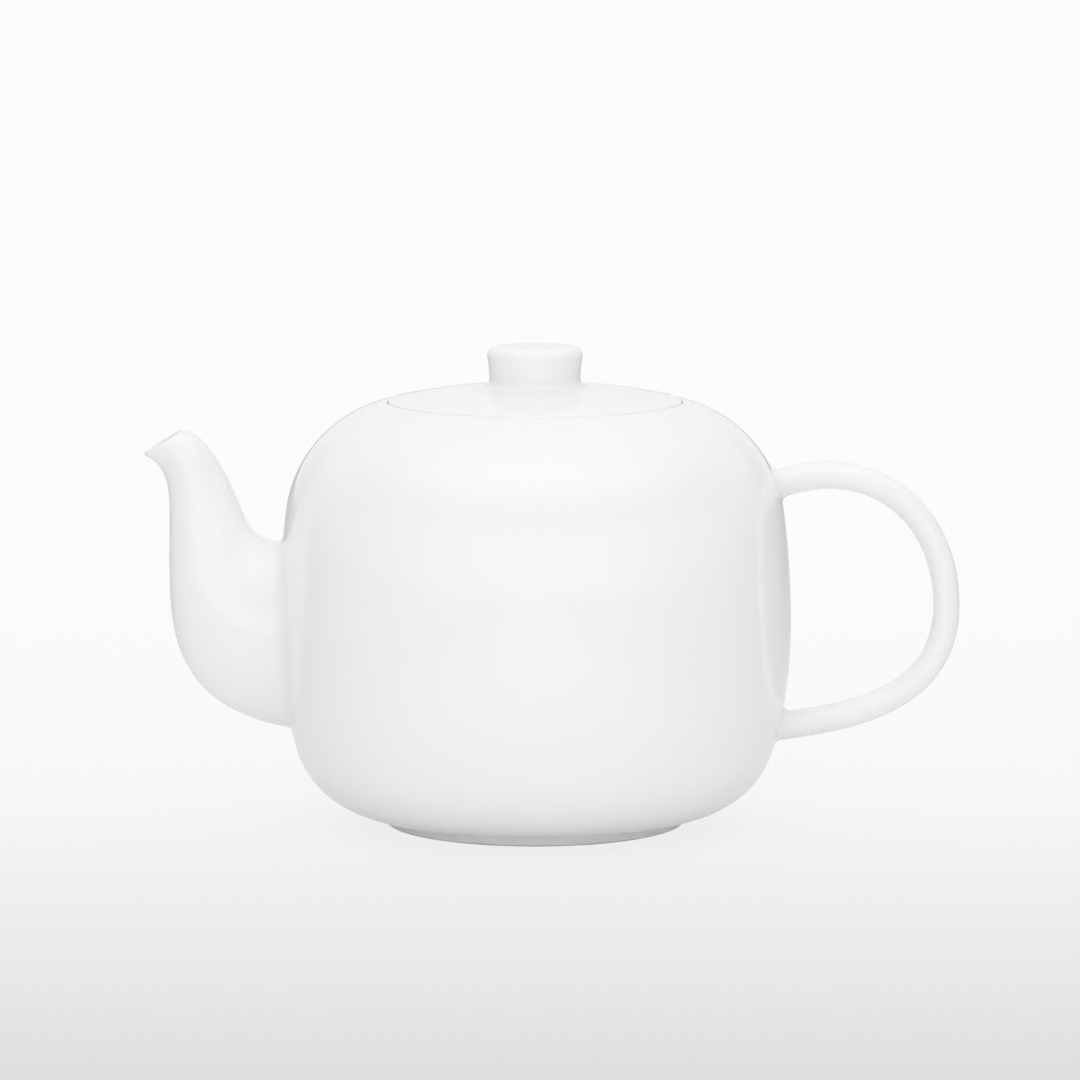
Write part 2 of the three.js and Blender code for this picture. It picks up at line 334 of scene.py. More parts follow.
# %% Mix the glaze
PORCELAIN = (0.918, 0.917, 0.912, 1.0)
PORCELAIN_SHADE = (0.909, 0.910, 0.906, 1.0)
WHITE_WAVES = 28.0
RUN_WAVES = 38.0
PEEL_WAVES = 260.0
PEEL_SHARE = 0.06
GLAZE_RELIEF = 0.00009
ROUGHNESS_WAVES = 60.0
GLAZE_ROUGHNESS = (0.06, 0.09)
GLASS_IOR = 1.5
LIGHT_LET_IN = 0.12
LIGHT_DEPTH = 0.0004
LIGHT_REACH = (1.0, 0.9, 0.75)
NOISE_MIDDLE = (0.35, 0.65)


def glaze_colour(tree, place):
    """The white of the clay under the glaze, which wanders over a few centimetres."""
    share = add_spread(tree, add_noise(tree, place, WHITE_WAVES), NOISE_MIDDLE, (0.0, 1.0))
    return add_tint(tree, share, PORCELAIN_SHADE, PORCELAIN)


def glaze_ripple(tree, place):
    """The glaze's slow run and its finer orange peel, as a bump in metres."""
    run = add_noise(tree, place, RUN_WAVES, 1.0)
    peel = add_math(tree, "MULTIPLY", add_noise(tree, place, PEEL_WAVES, 1.0), PEEL_SHARE)
    bump = add_node(tree, "ShaderNodeBump", Strength=1.0, Distance=GLAZE_RELIEF)
    tree.links.new(add_math(tree, "ADD", run, peel), bump.inputs["Height"])
    return bump.outputs["Normal"]


glaze, tree, shader, place = new_finish("clear_glaze_on_porcelain")
tree.links.new(glaze_colour(tree, place), shader.inputs["Base Color"])
roughness = add_spread(tree, add_noise(tree, place, ROUGHNESS_WAVES), NOISE_MIDDLE, GLAZE_ROUGHNESS)
tree.links.new(roughness, shader.inputs["Roughness"])
tree.links.new(glaze_ripple(tree, place), shader.inputs["Normal"])
shader.inputs["IOR"].default_value = GLASS_IOR
shader.inputs["Subsurface Weight"].default_value = LIGHT_LET_IN
shader.inputs["Subsurface Radius"].default_value = LIGHT_REACH
shader.inputs["Subsurface Scale"].default_value = LIGHT_DEPTH
print("glaze roughness runs from", GLAZE_ROUGHNESS[0], "to", GLAZE_ROUGHNESS[1])

# %% [markdown]
# # The bare foot
#
# A glazed pot would stick to the kiln shelf, so the potter wipes the glaze off the tread, the narrow
# flat ring that it stands on. The wiped line is never quite straight. Above it the foot is nearly as
# glossy as the body. Below it the clay is matt, a little darker and warmer, with a fine grain. One
# material does both: the height decides which, with noise to make the line waver.

# %% Mix the bare clay of the tread
BARE_CLAY = (0.80, 0.785, 0.755, 1.0)
BARE_CLAY_SHADE = (0.72, 0.70, 0.665, 1.0)
WIPED_HEIGHT = 0.00045
WIPED_WAVER = 0.00025
WIPED_EDGE = 0.00005
WAVER_WAVES = 90.0
GRAIN_WAVES = 1400.0
CLAY_ROUGHNESS = 0.85
FOOT_ROUGHNESS = 0.1

foot_finish, tree, shader, place = new_finish("foot_with_wiped_tread")
parts = tree.nodes.new("ShaderNodeSeparateXYZ")
tree.links.new(place, parts.inputs["Vector"])
waver = add_noise(tree, place, WAVER_WAVES)
waver = add_spread(tree, waver, NOISE_MIDDLE, (-WIPED_WAVER, WIPED_WAVER))
height = add_math(tree, "ADD", parts.outputs["Z"], waver)
wiped_line = (WIPED_HEIGHT - WIPED_EDGE, WIPED_HEIGHT + WIPED_EDGE)
glazed = add_spread(tree, height, wiped_line, (0.0, 1.0))
grain = add_spread(tree, add_noise(tree, place, GRAIN_WAVES, 4.0), NOISE_MIDDLE, (0.0, 1.0))
clay = add_tint(tree, grain, BARE_CLAY_SHADE, BARE_CLAY)
tree.links.new(add_tint(tree, glazed, clay, glaze_colour(tree, place)), shader.inputs["Base Color"])
roughness = add_spread(tree, glazed, (0.0, 1.0), (CLAY_ROUGHNESS, FOOT_ROUGHNESS))
tree.links.new(roughness, shader.inputs["Roughness"])
tree.links.new(glaze_ripple(tree, place), shader.inputs["Normal"])
shader.inputs["IOR"].default_value = GLASS_IOR
print("glaze is wiped off below", WIPED_HEIGHT / MM, "mm")

# %% [markdown]
# # The body's outline
#
# The body is a barrel: from the belly, its widest place, a nearly straight side runs up to a round
# shoulder and down to a round base. Each half is one long arc and one short arc that meet without a
# corner. The short arc ends level, so the base is flat and the shoulder flows into the lid. Drawing the
# outline once, with an inset, gives the outside and the inside of the wall from the same numbers.

# %% Draw the outline
SHOULDER = {"side": 250.0, "angle": 0.131, "corner": 34.9, "up": 1}
BASE = {"side": 117.0, "angle": 0.287, "corner": 24.2, "up": -1}
WALL = 3.6
BELLY = BASE["corner"] + (BASE["side"] - BASE["corner"]) * math.sin(BASE["angle"])
SIDE_STEPS = 22
CORNER_STEPS = 40


def centres(half):
    """Where the compass stands for the long arc and for the short one, from the belly's height."""
    side = np.array([BODY_RADIUS - half["side"], 0.0])
    return side, step(side, half["side"] - half["corner"], half["angle"])


def half_outline(half, inset):
    """Half of the outline, from the belly to the axis, moved inwards by an inset."""
    side, corner = centres(half)
    line = np.concatenate([
        arc(side, half["side"] - inset, 0, half["angle"], SIDE_STEPS),
        arc(corner, half["corner"] - inset, half["angle"], math.pi / 2, CORNER_STEPS)[1:],
        [[0.0, corner[1] + half["corner"] - inset]],
    ])
    return np.stack([line[:, 0], BELLY + half["up"] * line[:, 1]], axis=1)


def up_to(line, column, limit):
    """A line of points, ended where one of its columns crosses a limit."""
    kept = [line[0]]
    for before, after in zip(line, line[1:]):
        share = (limit - before[column]) / (after[column] - before[column] or 1)
        if 0 < share < 1:
            return np.array([*kept, before + share * (after - before)])
        kept.append(after)
    return np.array(kept)


print("belly at", round(BELLY + FOOT_HEIGHT, 1), "mm above the table")

# %% [markdown]
# # The mouth, the gallery and the wall
#
# Inside the mouth lies the gallery, a ledge that carries the lid. Its edges are soft, because glaze
# draws back from a sharp edge and fills a sharp corner. The wall is as thick as in a real pot, and the
# inside is modelled as carefully as the outside, because it shows when the lid is lifted.

# %% Turn the body
MOUTH_RADIUS = LID_RADIUS + 0.12
MOUTH_EDGE = 0.5
LEDGE_WIDTH = 6.2
LEDGE_THICKNESS = 3.4
LEDGE_CORNER = 0.5
LEDGE_EDGE = 0.8
LEDGE_HEEL = 1.2
LID_PROUD = 0.3
LID_RIM = 2.7
SEAT_GAP = 0.3
THROAT_RADIUS = MOUTH_RADIUS - LEDGE_WIDTH

shoulder_line = up_to(half_outline(SHOULDER, 0), 0, MOUTH_RADIUS + MOUTH_EDGE)
MOUTH_HEIGHT = shoulder_line[-1][1]
LID_SEAT = MOUTH_HEIGHT + LID_PROUD - LID_RIM
LEDGE_TOP = LID_SEAT - SEAT_GAP
LEDGE_UNDER = LEDGE_TOP - LEDGE_THICKNESS

inner_shoulder = up_to(half_outline(SHOULDER, WALL), 1, LEDGE_UNDER)
root = inner_shoulder[-1]
gallery = rounded([
    (MOUTH_RADIUS, MOUTH_HEIGHT - MOUTH_EDGE, 0),
    (MOUTH_RADIUS, LEDGE_TOP, LEDGE_CORNER),
    (THROAT_RADIUS, LEDGE_TOP, LEDGE_EDGE),
    (THROAT_RADIUS, LEDGE_UNDER, LEDGE_HEEL),
    (root[0], root[1], 0),
])
mouth_centre = (MOUTH_RADIUS + MOUTH_EDGE, MOUTH_HEIGHT - MOUTH_EDGE)
body_profile = np.concatenate([
    half_outline(BASE, 0)[::-1],
    shoulder_line[1:],
    arc(mouth_centre, MOUTH_EDGE, math.pi / 2, math.pi, 6)[1:],
    gallery[1:],
    inner_shoulder[::-1][1:],
    half_outline(BASE, WALL)[1:],
])
body_mesh = mesh_of("turned_body", *turned(body_profile))
print("mouth", round(2 * MOUTH_RADIUS, 1), "mm wide, gallery", round(2 * THROAT_RADIUS, 1), "mm wide")

# %% [markdown]
# # The strainer
#
# Behind the spout, the wall itself is the strainer: nineteen small holes hold the leaves back. They
# are pushed through while the clay is damp, and glaze then rounds both their edges. So each drill is a
# slim turned form that flares where it leaves the wall, inside and outside. A plain cylinder would leave
# knife edges that no glazed pot has.

# %% Pierce the strainer
HOLE_RADIUS = 1.25
HOLE_PITCH = 6.4
HOLE_RINGS = 2
HOLE_STEPS = 28
HOLE_EDGE = 0.45
DRILL_REACH = 2.0
SPOUT_ROOT_LOW = 22.2
SPOUT_ROOT_HIGH = 74.5
HOLE_MIDDLE = (SPOUT_ROOT_LOW + SPOUT_ROOT_HIGH) / 2


def wall_radius(height, inset):
    """The radius of the wall's outside, or of its inside with the wall as inset, at a height."""
    half = SHOULDER if height > BELLY else BASE
    return up_to(half_outline(half, inset), 1, height)[-1][0]


def drill(y, z):
    """A hole cutter along X, flared where it meets the wall's inside and outside."""
    outside = -math.sqrt(wall_radius(z, 0) ** 2 - y ** 2)
    inside = -math.sqrt(wall_radius(z, WALL) ** 2 - y ** 2)
    flare = arc((0.0, HOLE_RADIUS + HOLE_EDGE), HOLE_EDGE, -math.pi / 2, 0, 5)
    before, beyond = outside - DRILL_REACH, inside + DRILL_REACH
    line = [(before, 0.0), (before, HOLE_RADIUS + HOLE_EDGE)]
    line += [(outside + HOLE_EDGE - x, r) for x, r in flare[::-1]]
    line += [(inside - HOLE_EDGE + x, r) for x, r in flare]
    line += [(beyond, HOLE_RADIUS + HOLE_EDGE), (beyond, 0.0)]
    angles = np.linspace(0, 2 * math.pi, HOLE_STEPS, endpoint=False)
    rings = []
    for x, radius in line:
        if radius == 0:
            rings.append([(x, y, z)])
        else:
            rings.append([(x, y + radius * math.cos(a), z + radius * math.sin(a)) for a in angles])
    return skin(rings)


hole_places = [(0.0, 0.0)]
for ring in range(1, HOLE_RINGS + 1):
    corners = arc((0.0, 0.0), ring * HOLE_PITCH, 0, 2 * math.pi, 6)
    for here, there in zip(corners, corners[1:]):
        hole_places += [tuple(here + (there - here) * i / ring) for i in range(ring)]

drill_points = []
drill_faces = []
for rise, aside in hole_places:
    points, faces = drill(aside, HOLE_MIDDLE + rise)
    drill_faces += [tuple(i + len(drill_points) for i in face) for face in faces]
    drill_points += points
drills = mesh_of("strainer_drills", drill_points, drill_faces)
make_piece("glazed_body", pierced("body", body_mesh, drills), "pot", "pot_body", glaze)
print("strainer holes:", len(hole_places))

# %% [markdown]
# # The foot ring
#
# The foot is a low ring under the body. Its top runs a hair into the base, so no gap can show. A fine
# groove runs round it just under the body, where the turning tool cut in, and shows as a thin line. The
# two lower edges are rounded where the potter has run a damp sponge round them.

# %% Turn the foot
FOOT_WIDTH = 4.2
FOOT_EDGE = 0.7
FOOT_GROOVE = 0.3
GROOVE_HEIGHT = 1.3 * FOOT_GROOVE
GROOVE_EDGE = 0.2
SUNK = 0.4

foot_inner = FOOT_RADIUS - FOOT_WIDTH
foot_profile = rounded([
    (foot_inner, SUNK, 0),
    (foot_inner, -FOOT_HEIGHT, FOOT_EDGE),
    (FOOT_RADIUS, -FOOT_HEIGHT, FOOT_EDGE),
    (FOOT_RADIUS, -GROOVE_HEIGHT, GROOVE_EDGE),
    (FOOT_RADIUS - FOOT_GROOVE, -FOOT_GROOVE / 2, 0),
    (FOOT_RADIUS - FOOT_GROOVE, SUNK, 0),
])
foot_mesh = mesh_of("turned_foot", *turned(foot_profile, looped=True))
make_piece("wiped_foot", foot_mesh, "pot", "foot_ring", foot_finish)

# %% [markdown]
# # The lid
#
# The lid is a low dome whose rim lies almost flush in the mouth. The rim is a soft round, so it catches
# a thin bright line, and the gap round it is too fine to look into. Underneath it has a flange, a short
# collar that drops into the throat and stops the lid from sliding off when the pot is tipped. A small
# steam vent lets air in as the tea runs out. The dome's top runs up into the knob in a hollow curve.

# %% Turn the lid
DOME_RADIUS = 185.0
LID_WALL = 3.2
RIM_EDGE = 1.2
RIM_TURN = math.pi / 2 - 0.2
RIM_SIDE = 1.2
RIM_TO_DOME = 0.001
FLANGE_PLAY = 0.7
FLANGE_WALL = 2.6
FLANGE_DEPTH = 12.0
FLANGE_EDGE = 1.1
FLANGE_HEEL = 1.5
SEAT_CORNER = 0.5
KNOB_ROOT = 12.35
FLANGE_RADIUS = THROAT_RADIUS - FLANGE_PLAY

RIM_HEIGHT = MOUTH_HEIGHT + LID_PROUD
dome = np.array([0.0, RIM_HEIGHT - math.sqrt(DOME_RADIUS ** 2 - LID_RADIUS ** 2)])


def dome_height(radius, inset=0.0):
    """The height of the dome, or of its underside, at a distance from the axis."""
    return dome[1] + math.sqrt((DOME_RADIUS - inset) ** 2 - radius ** 2)


knob_rise = KNOB_PAD - dome[1]
KNOB_FILLET = (KNOB_ROOT ** 2 + knob_rise ** 2 - DOME_RADIUS ** 2) / (2 * (DOME_RADIUS - KNOB_ROOT))
fillet_middle = KNOB_ROOT + KNOB_FILLET
fillet_lean = math.asin(fillet_middle / (DOME_RADIUS + KNOB_FILLET))
print("the knob grows out of the dome in a hollow of", round(KNOB_FILLET, 2), "mm")

bore = FLANGE_RADIUS - FLANGE_WALL
under_radius = DOME_RADIUS - LID_WALL
under_dome = arc(dome, under_radius, math.pi / 2, math.acos(bore / under_radius), 16)
flange = rounded([
    (under_dome[-2][0], under_dome[-2][1], 0),
    (under_dome[-1][0], under_dome[-1][1], FLANGE_HEEL),
    (bore, LID_SEAT - FLANGE_DEPTH, FLANGE_EDGE),
    (FLANGE_RADIUS, LID_SEAT - FLANGE_DEPTH, FLANGE_EDGE),
    (FLANGE_RADIUS, LID_SEAT, SEAT_CORNER),
    (LID_RADIUS, LID_SEAT, SEAT_CORNER),
    (LID_RADIUS, LID_SEAT + RIM_SIDE, 0),
])
edge = LID_RADIUS - RIM_EDGE
dome_begin = math.acos(edge / DOME_RADIUS) + RIM_TO_DOME
lid_profile = np.concatenate([
    under_dome[:-2],
    flange,
    arc((edge, dome_height(edge) - RIM_EDGE), RIM_EDGE, 0, RIM_TURN, 8),
    arc(dome, DOME_RADIUS, dome_begin, math.pi / 2 - fillet_lean, 24),
    arc((fillet_middle, KNOB_PAD), KNOB_FILLET, 1.5 * math.pi - fillet_lean, math.pi, 14)[1:],
    [[0.0, KNOB_PAD]],
])
lid_mesh = mesh_of("turned_lid", *turned(lid_profile))

# %% [markdown]
# # The steam vent
#
# The vent is one small hole beside the knob. Like the strainer's holes it is pushed through the damp
# clay and flares at both ends, so its cutter is turned from the same kind of outline.

# %% Pierce the vent
VENT_RADIUS = 1.2
VENT_FROM_AXIS = 24.0
VENT_EDGE = 0.5
VENT_BRIM = VENT_RADIUS + VENT_EDGE + 0.2
VENT_REACH = 3.0

vent_top = dome_height(VENT_FROM_AXIS)
vent_low = dome_height(VENT_FROM_AXIS, LID_WALL)
flare = arc((VENT_RADIUS + VENT_EDGE, 0.0), VENT_EDGE, math.pi / 2, math.pi, 6)
vent_line = [(0.0, vent_top + VENT_REACH), (VENT_BRIM, vent_top + VENT_REACH)]
vent_line += [(r, vent_top - VENT_EDGE + h) for r, h in flare]
vent_line += [(r, vent_low + VENT_EDGE - h) for r, h in flare[::-1]]
vent_line += [(VENT_BRIM, vent_low - VENT_REACH), (0.0, vent_low - VENT_REACH)]
vent_points, vent_faces = turned(vent_line)
vent_points = [(x, y + VENT_FROM_AXIS, z) for x, y, z in vent_points]
vent_drill = mesh_of("vent_drill", vent_points, vent_faces)
make_piece("domed_lid", pierced("lid", lid_mesh, vent_drill), "lid", "lid", glaze)
print("lid dome rises to", round(KNOB_PAD + FOOT_HEIGHT, 1), "mm above the table")

# %% [markdown]
# # The knob
#
# The knob is a solid button with a flat top. Its side leans out a little towards the top, which is what
# the fingertips pull against, and its upper edge is a soft round. It is stuck on with slip, so its foot
# runs a hair into the lid and the join can't be seen under the glaze.

# %% Turn the knob
KNOB_EDGE = 2.5
KNOB_FOOT_INSET = 0.05
KNOB_DISH = 0.12
DISH_RADIUS = 10.5
DISH_RINGS = (8.0, 5.0, 2.0)
SIDE_HOLLOW = 1.4
KNOB_SIDE_STEPS = 8

edge_centre = (KNOB_RADIUS - KNOB_EDGE, KNOB_TOP - KNOB_EDGE)
rise = np.linspace(0, 1, KNOB_SIDE_STEPS + 1)[:-1]
side_radii = KNOB_ROOT + (KNOB_RADIUS - KNOB_ROOT) * rise ** SIDE_HOLLOW
side_heights = KNOB_PAD + (edge_centre[1] - KNOB_PAD) * rise
top_rings = [(radius, KNOB_TOP - KNOB_DISH * (1 - radius / DISH_RADIUS)) for radius in DISH_RINGS]
knob_profile = np.concatenate([
    [[0.0, KNOB_PAD - SUNK], [KNOB_ROOT - KNOB_FOOT_INSET, KNOB_PAD - SUNK]],
    np.stack([side_radii, side_heights], axis=1),
    arc(edge_centre, KNOB_EDGE, 0, math.pi / 2, 14),
    top_rings,
    [[0.0, KNOB_TOP - KNOB_DISH]],
])
knob_mesh = mesh_of("turned_knob", *turned(knob_profile))
make_piece("button_knob", knob_mesh, "lid", "lid_knob", glaze)

# %% [markdown]
# # How a limb grows out of the body
#
# The spout and the handle are stuck on with slip, and the potter runs a wet finger round the join. That
# leaves a small hollow curve which glaze then softens further. To get it, think of a ball rolled along
# the crease, touching both the limb and the body: the hollow is the part of the ball between its two
# touching points. A boolean with a bevel could do this too, but it breaks up where the crease changes
# angle. Solving for the ball on each line of the limb always gives a clean strip.

# %% The body as a surface to lean against
def above_skin(place):
    """How far a point lies outside the body's skin, and the direction straight out from there."""
    x, y, z = place
    radius = math.hypot(x, y)
    half = SHOULDER if z >= BELLY else BASE
    side, corner = centres(half)
    flat = np.array([radius, abs(z - BELLY)])
    centre, reach = side, half["side"]
    if math.atan2(flat[1] - side[1], flat[0] - side[0]) > half["angle"]:
        centre, reach = corner, half["corner"]
    away = flat - centre
    far = np.linalg.norm(away)
    away /= far
    out = np.array([away[0] * x / radius, away[0] * y / radius, half["up"] * away[1]])
    return far - reach, out


def straight_out(surface, angle, t):
    """The direction straight out of a limb's surface, from its slopes around and along."""
    near = 1e-3
    around = surface(angle + near, t) - surface(angle - near, t)
    along = surface(angle, t + near) - surface(angle, t - near)
    out = np.cross(around, along)
    out /= np.linalg.norm(out)
    if out @ (surface(angle, t) - surface(angle + math.pi, t)) < 0:
        out = -out
    return out


HALVINGS = 40


def find(function, low, high):
    """Where a function that rises from below zero crosses it, by halving."""
    for _ in range(HALVINGS):
        middle = (low + high) / 2
        if function(middle) < 0:
            low = middle
        else:
            high = middle
    return (low + high) / 2


def root_strip(surface, angle, inside, outside, radius, sunk, steps=9):
    """One line of a limb's root, from just inside the wall, over the hollow, to where the limb's own
    surface starts. Also where that is along the limb. inside and outside bracket it."""

    def gap(t):
        centre = surface(angle, t) + radius * straight_out(surface, angle, t)
        return above_skin(centre)[0] - radius

    share = find(lambda s: gap(inside + s * (outside - inside)), 0.0, 1.0)
    start = inside + share * (outside - inside)
    out = straight_out(surface, angle, start)
    centre = surface(angle, start) + radius * out
    up = above_skin(centre)[1]
    turn = math.acos(np.clip(out @ up, -1, 1))
    line = [centre - (radius + sunk) * up]
    for i in range(steps):
        part = i / steps
        blend = math.sin((1 - part) * turn) * up + math.sin(part * turn) * out
        line.append(centre - radius * blend / math.sin(turn))
    return line, start


print("a point 5 mm outside the belly measures", round(above_skin((75.0, 0.0, BELLY))[0], 3), "mm")

# %% [markdown]
# # The spout
#
# The spout takes the most skill of all the pieces. Seen from the side it has two edges: the lower one
# swells out from the body and turns up, the upper one leaves the body and leans out to a small pouring
# lip. Each edge is two Bezier curves that meet smoothly at the neck. An oval section joins the two edges
# at each place, wide at the root and narrow at the mouth. Lofting ovals between two drawn edges keeps
# the silhouette exact, which sweeping a tube along a middle line would not.

# %% Draw the spout's edges
def bezier(start, start_angle, end, end_angle, pulls):
    """The four points of a curve that leaves and arrives at given angles."""
    chord = np.linalg.norm(np.subtract(end, start))
    return np.array([
        start,
        step(start, pulls[0] * chord, start_angle),
        step(end, -pulls[1] * chord, end_angle),
        end,
    ])


def along_curve(curve, t):
    """The point at a share t of a curve."""
    return np.array([(1 - t) ** 3, 3 * (1 - t) ** 2 * t, 3 * (1 - t) * t ** 2, t ** 3]) @ curve


LEFT = math.pi
UP = math.pi / 2
ROOT_X = 8.0 - BODY_RADIUS
NECK_LEAN = LEFT - 1.232
LIP_SET_BACK = 0.12
SPOUT_WALL = 3.2
LIP_WALL = 1.6
LIP_NARROWING = 0.22

root_bottom = (ROOT_X, SPOUT_ROOT_LOW)
root_top = (ROOT_X, SPOUT_ROOT_HIGH)
neck_front = np.array([-BODY_RADIUS - 29.8, 69.0])
neck_back = step(neck_front, 23.9, 0.572)
mouth_front = np.array([-BODY_RADIUS - 36.4 + LIP_SET_BACK, 97.9])
mouth_back = step(mouth_front, 12.9 - LIP_SET_BACK, 0.53)
lower_edge = [
    bezier(root_bottom, LEFT - 0.112, neck_front, UP, (0.635, 0.31)),
    bezier(neck_front, UP, mouth_front, LEFT - 0.438, (0.54, 0.315)),
]
upper_edge = [
    bezier(root_top, LEFT, neck_back, NECK_LEAN, (0.13, 0.6)),
    bezier(neck_back, NECK_LEAN, mouth_back, LEFT + 0.342, (0.59, 0.11)),
]
print("spout reaches", round(-mouth_front[0] - BODY_RADIUS, 1), "mm out from the belly")

# %% [markdown]
# # The spout's sections
#
# Along the spout, a place is a number from 0 at the root, over 1 at the neck, to 2 at the mouth. Each
# section is an oval that narrows towards the pouring lip. The bore is the same oval, moved in by the
# wall, and the rim between them is half a circle.

# %% The spout's surface
SPOUT_SIDES = 112
HALF_BREADTHS = (19.0, 10.8, 5.9)
TAPERS = ((1.1, 0.73), (1.22, 0.71))


def tapered(start, end, tapers, t):
    """A smooth change between two sizes, whose pace at each end is a share of its mean pace."""
    share = t * t * (3 - 2 * t) + tapers[0] * t * (1 - t) ** 2 - tapers[1] * t ** 2 * (1 - t)
    return start + (end - start) * share


def spout_point(angle, place, inset=0.0, lift=0.0):
    """A point on the spout. An inset is a share of the wall, a lift goes on past the mouth."""
    leg = 0 if place < 1 else 1
    t = place - leg
    low = along_curve(lower_edge[leg], t)
    high = along_curve(upper_edge[leg], t)
    middle = (low + high) / 2
    half = np.linalg.norm(high - low) / 2
    down = (low - middle) / half
    wall = inset * (SPOUT_WALL if leg == 0 else SPOUT_WALL + (LIP_WALL - SPOUT_WALL) * t)
    breadth = tapered(HALF_BREADTHS[leg], HALF_BREADTHS[leg + 1], TAPERS[leg], t) - wall
    narrowing = 0.0 if leg == 0 else LIP_NARROWING * t
    reach = (half - wall) * math.cos(angle)
    aside = breadth * math.sin(angle) * (1 - narrowing * math.cos(angle))
    x = middle[0] + down[0] * reach + down[1] * lift
    z = middle[1] + down[1] * reach - down[0] * lift
    return np.array([x, aside, z])


print("at the neck the spout is", round(2 * spout_point(math.pi / 2, 1.0)[1], 1), "mm broad")

# %% [markdown]
# # Lofting the spout
#
# Each of the lines that run along the spout starts at its own hollow join with the body, so the rings
# fan out from the join and even up towards the neck. The hollow is wider on the flanks than above and
# below, as a thumb leaves it. Where the two legs of the drawing meet, the rings are relaxed a little, as
# a finger would smooth the clay, so no highlight breaks there. The bore comes back down inside, and
# closes the skin within the body's wall, round the strainer.

# %% Loft the spout
SPOUT_FILLETS = (1.5, 4.5)
ROOT_RINGS = 46
MOUTH_RINGS = 40
BORE_RINGS = 16
RIM_STEPS = 10
ROOT_RANGE = (0.02, 0.95)
RELAXED_RINGS = 8
RELAXED_TIMES = 30

spout_angles = np.linspace(0, 2 * math.pi, SPOUT_SIDES, endpoint=False)
lines = []
for angle in spout_angles:
    hollow = SPOUT_FILLETS[0] + (SPOUT_FILLETS[1] - SPOUT_FILLETS[0]) * math.sin(angle) ** 2
    strip, start = root_strip(spout_point, angle, *ROOT_RANGE, hollow, SUNK)
    ends = [start + (1 - start) * i / ROOT_RINGS for i in range(ROOT_RINGS)]
    ends += [1 + i / MOUTH_RINGS for i in range(MOUTH_RINGS + 1)]
    lines.append(strip + [spout_point(angle, place) for place in ends])
outside = np.array(lines).transpose(1, 0, 2)

neck_ring = outside.shape[0] - MOUTH_RINGS - 1
low_ring = neck_ring - RELAXED_RINGS
high_ring = neck_ring + RELAXED_RINGS + 1
for _ in range(RELAXED_TIMES):
    smooth = (outside[low_ring - 1:high_ring - 1] + outside[low_ring + 1:high_ring + 1]) / 2
    outside[low_ring:high_ring] = (outside[low_ring:high_ring] + smooth) / 2

rim = []
for i in range(1, RIM_STEPS):
    turn = math.pi * i / RIM_STEPS
    inset = (1 - math.cos(turn)) / 2
    lift = math.sin(turn) * LIP_WALL / 2
    rim.append([spout_point(angle, 2.0, inset, lift) for angle in spout_angles])

bore_lines = []
for angle in spout_angles:
    def deep(t):
        return above_skin(spout_point(angle, t, 1.0))[0] + SUNK

    root_place = find(deep, *ROOT_RANGE)
    places = [2 - i / BORE_RINGS for i in range(BORE_RINGS)]
    places += [1 - (1 - root_place) * i / BORE_RINGS for i in range(BORE_RINGS + 1)]
    bore_lines.append([spout_point(angle, place, 1.0) for place in places])
inside = np.array(bore_lines).transpose(1, 0, 2)

spout_rings = [*outside.tolist(), *[[tuple(p) for p in ring] for ring in rim], *inside.tolist()]
spout_mesh = mesh_of("lofted_spout", *skin(spout_rings, looped=True))
make_piece("pouring_spout", spout_mesh, "pot", "spout", glaze)

# %% [markdown]
# # The handle
#
# The handle is a rod, pulled or cast, that bows out from the shoulder and comes back in near the base.
# Its middle line is two Bezier curves that meet at the point furthest out. Its section is a slightly
# flattened oval, a little thicker near both roots, and broader than it is deep so that it sits in the
# fingers. The same rolled hollow joins it to the body, wider on the outside of the bend than inside.

# %% Draw and loft the handle
HANDLE_SIDES = 56
HANDLE_RINGS = 150
HANDLE_THICKNESS = 7.1
HANDLE_ROOT_THICKNESS = 7.8
HANDLE_BREADTH = 9.4
HANDLE_FILLETS = (1.7, 2.9)
HANDLE_SET_BACK = 0.07
TOP_ROOT_RANGE = (0.006, 0.2)
LOW_ROOT_RANGE = (0.994, 0.8)
BOW_STEPS = 400
NEARBY = 0.004

handle_top = (-ROOT_X, 88.1)
handle_bottom = (-ROOT_X, 22.6)
handle_out = (BODY_RADIUS + 42.5 - HANDLE_SET_BACK, 56.4)
bow = [
    bezier(handle_top, 0.433, handle_out, -UP, (0.522, 0.444)),
    bezier(handle_out, -UP, handle_bottom, LEFT + 0.122, (0.467, 0.329)),
]
fine = np.array([along_curve(curve, t) for curve in bow for t in np.linspace(0, 1, BOW_STEPS)])
lengths = np.concatenate([[0], np.cumsum(np.linalg.norm(np.diff(fine, axis=0), axis=1))])


def handle_middle(share):
    """The point on the handle's middle line at a share of its length."""
    along = np.clip(share, 0, 1) * lengths[-1]
    return np.array([np.interp(along, lengths, fine[:, 0]), np.interp(along, lengths, fine[:, 1])])


def handle_point(angle, share):
    """A point on the handle. Angle 0 is the outside of the bend."""
    middle = handle_middle(share)
    ahead = handle_middle(share + NEARBY) - handle_middle(share - NEARBY)
    ahead /= np.linalg.norm(ahead)
    swell = math.sin(math.pi * np.clip(share, 0, 1))
    thick = HANDLE_ROOT_THICKNESS + (HANDLE_THICKNESS - HANDLE_ROOT_THICKNESS) * swell
    out = thick / 2 * math.cos(angle)
    aside = HANDLE_BREADTH / 2 * math.sin(angle)
    return np.array([middle[0] - ahead[1] * out, aside, middle[1] + ahead[0] * out])


